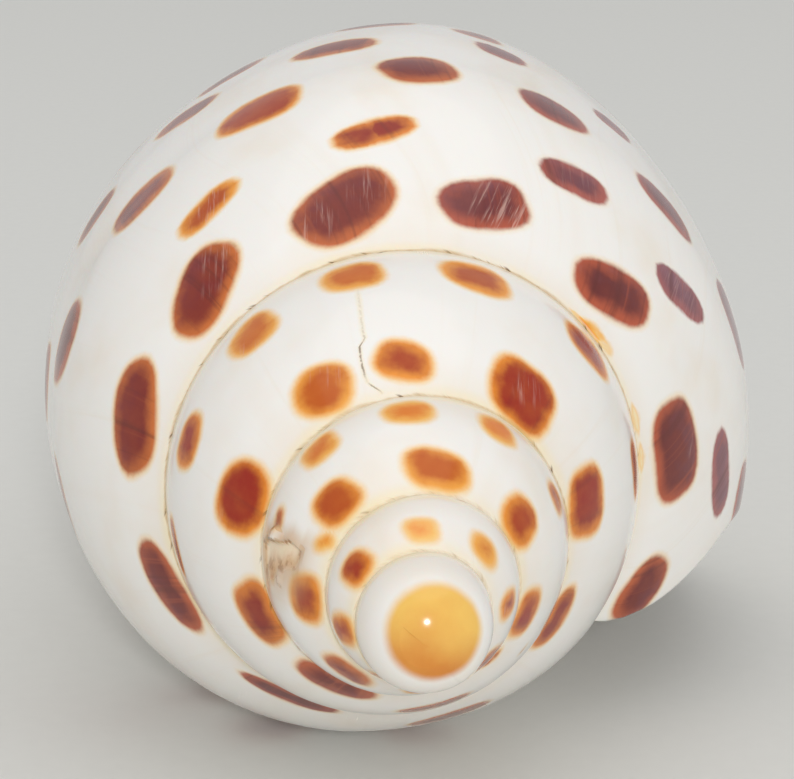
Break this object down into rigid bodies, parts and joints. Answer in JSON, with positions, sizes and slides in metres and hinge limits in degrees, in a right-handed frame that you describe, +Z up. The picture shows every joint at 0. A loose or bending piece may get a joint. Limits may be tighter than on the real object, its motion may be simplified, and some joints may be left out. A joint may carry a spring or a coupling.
{
  "type": "volute shell",
  "caption": "Adult volute sea-snail shell with a stepped spire, large last whorl and long aperture, lying aperture down: glossy white with brown spots.",
  "frame": {"origin": "on the resting surface, under the middle of the shell's bounding box", "axes": "+Z up; the shell's length along Y, with the apex at -Y and the siphonal end at +Y; the outer lip on the +X side, facing down"},
  "size_m": [0.0424, 0.0936, 0.0369],
  "materials": {
    "shell": "glossy natural shell, near white, with rows of soft-edged red-brown spots and an orange-tan apex"
  },
  "bodies": {
    "root": {"shell": "shell"}
  },
  "joints": []
}
